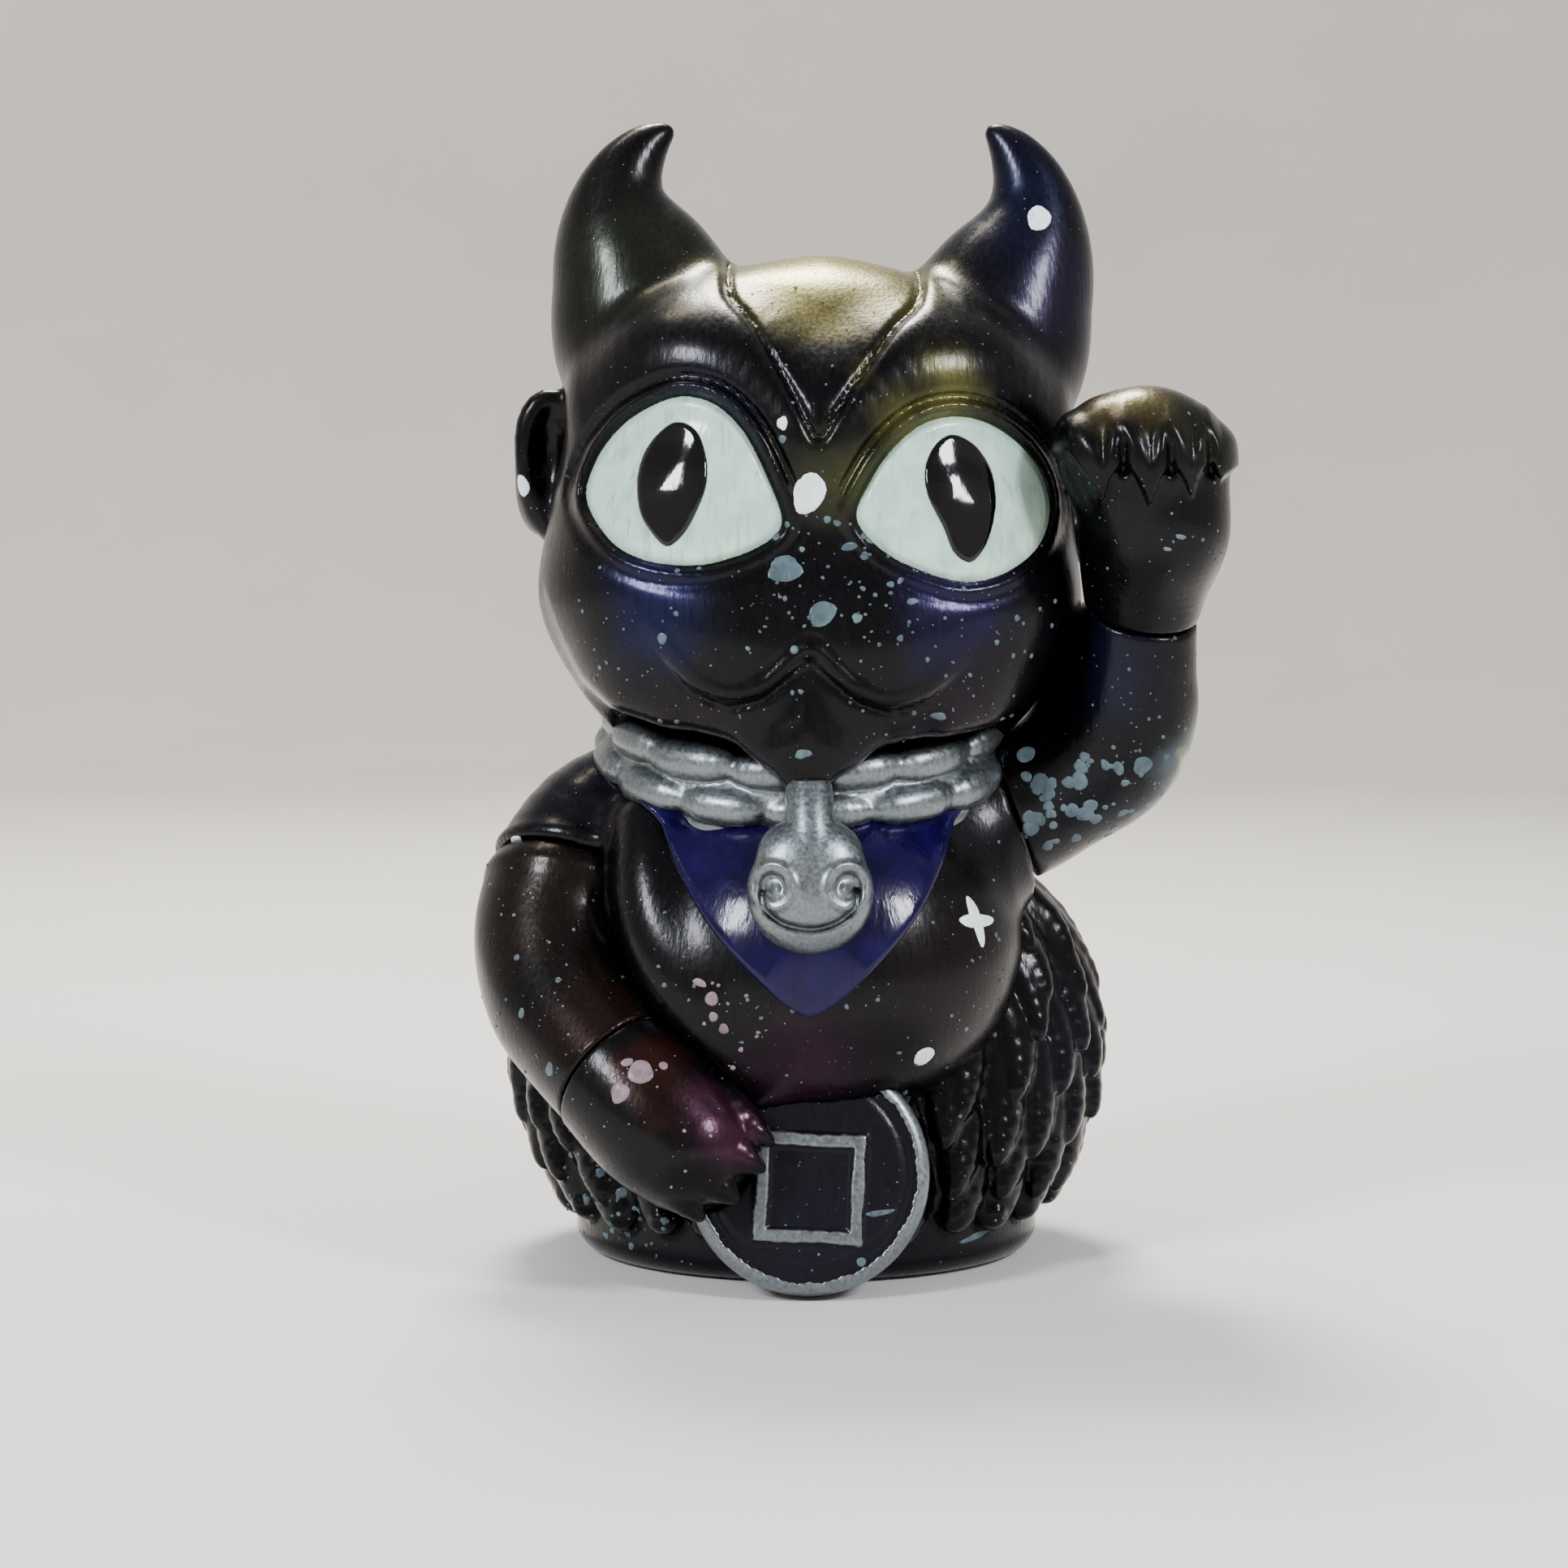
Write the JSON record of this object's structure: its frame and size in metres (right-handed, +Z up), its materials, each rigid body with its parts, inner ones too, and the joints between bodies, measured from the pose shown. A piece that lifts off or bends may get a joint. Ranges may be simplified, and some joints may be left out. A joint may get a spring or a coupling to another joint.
{
  "type": "vinyl art toy",
  "caption": "Seated horned imp figure in a beckoning pose, hollow vinyl shells with a swivel head, arms, paw and hand, on a flat foot.",
  "frame": {"origin": "middle of the flat foot, on the surface that the figure stands on", "axes": "+Z up, the face looks along -Y, the raised arm is on the +X side"},
  "size_m": [0.0925, 0.0701, 0.1403],
  "materials": {
    "painted_vinyl": "black pearl vinyl under airbrushed colour-shift lacquer",
    "horn_vinyl": "black pearl vinyl, colour-shift lacquer",
    "silver_paint": "silver lacquer with a dark wash",
    "violet_lacquer": "deep violet gloss lacquer",
    "coin_vinyl": "dark indigo pearl with a silver painted rim",
    "plug_vinyl": "bare moulded vinyl"
  },
  "bodies": {
    "torso": {"torso_shell": "painted_vinyl", "haunch_shell": "painted_vinyl", "coin": "coin_vinyl", "collar_rope": "silver_paint", "bib": "violet_lacquer", "bell": "silver_paint", "bell_bail": "silver_paint", "neck_plug": "plug_vinyl", "raised_shoulder_plug": "plug_vinyl", "resting_shoulder_plug": "plug_vinyl"},
    "head": {"head_shell": "painted_vinyl", "left_horn": "horn_vinyl", "right_horn": "horn_vinyl"},
    "raised_arm": {"raised_arm_shell": "painted_vinyl", "raised_wrist_plug": "plug_vinyl"},
    "raised_paw": {"raised_paw_shell": "painted_vinyl"},
    "resting_arm": {"resting_arm_shell": "painted_vinyl", "resting_wrist_plug": "plug_vinyl"},
    "resting_hand": {"resting_hand_shell": "painted_vinyl"}
  },
  "joints": [
    {"name": "head_swivel", "type": "hinge", "parent": "torso", "child": "head", "pos_m": [0, -0.00097, 0.06494], "axis": [0, -0.259, 0.9659], "range_deg": [-4, 40]},
    {"name": "raised_shoulder", "type": "hinge", "parent": "torso", "child": "raised_arm", "pos_m": [0.025, -0.004, 0.056], "axis": [0.9397, 0, 0.3419], "range_deg": [0, 120]},
    {"name": "raised_wrist", "type": "hinge", "parent": "raised_arm", "child": "raised_paw", "pos_m": [0.0402, -0.014, 0.0801], "axis": [0.11, -0.4, 0.9099], "range_deg": [-60, 60]},
    {"name": "resting_shoulder", "type": "hinge", "parent": "torso", "child": "resting_arm", "pos_m": [-0.0287, -0.0042, 0.0468], "axis": [-0.277, -0.484, -0.83], "range_deg": [0, 70]},
    {"name": "resting_wrist", "type": "hinge", "parent": "resting_arm", "child": "resting_hand", "pos_m": [-0.0223, -0.0233, 0.026], "axis": [0.6294, -0.5495, -0.5495], "range_deg": [-25, 25]}
  ]
}
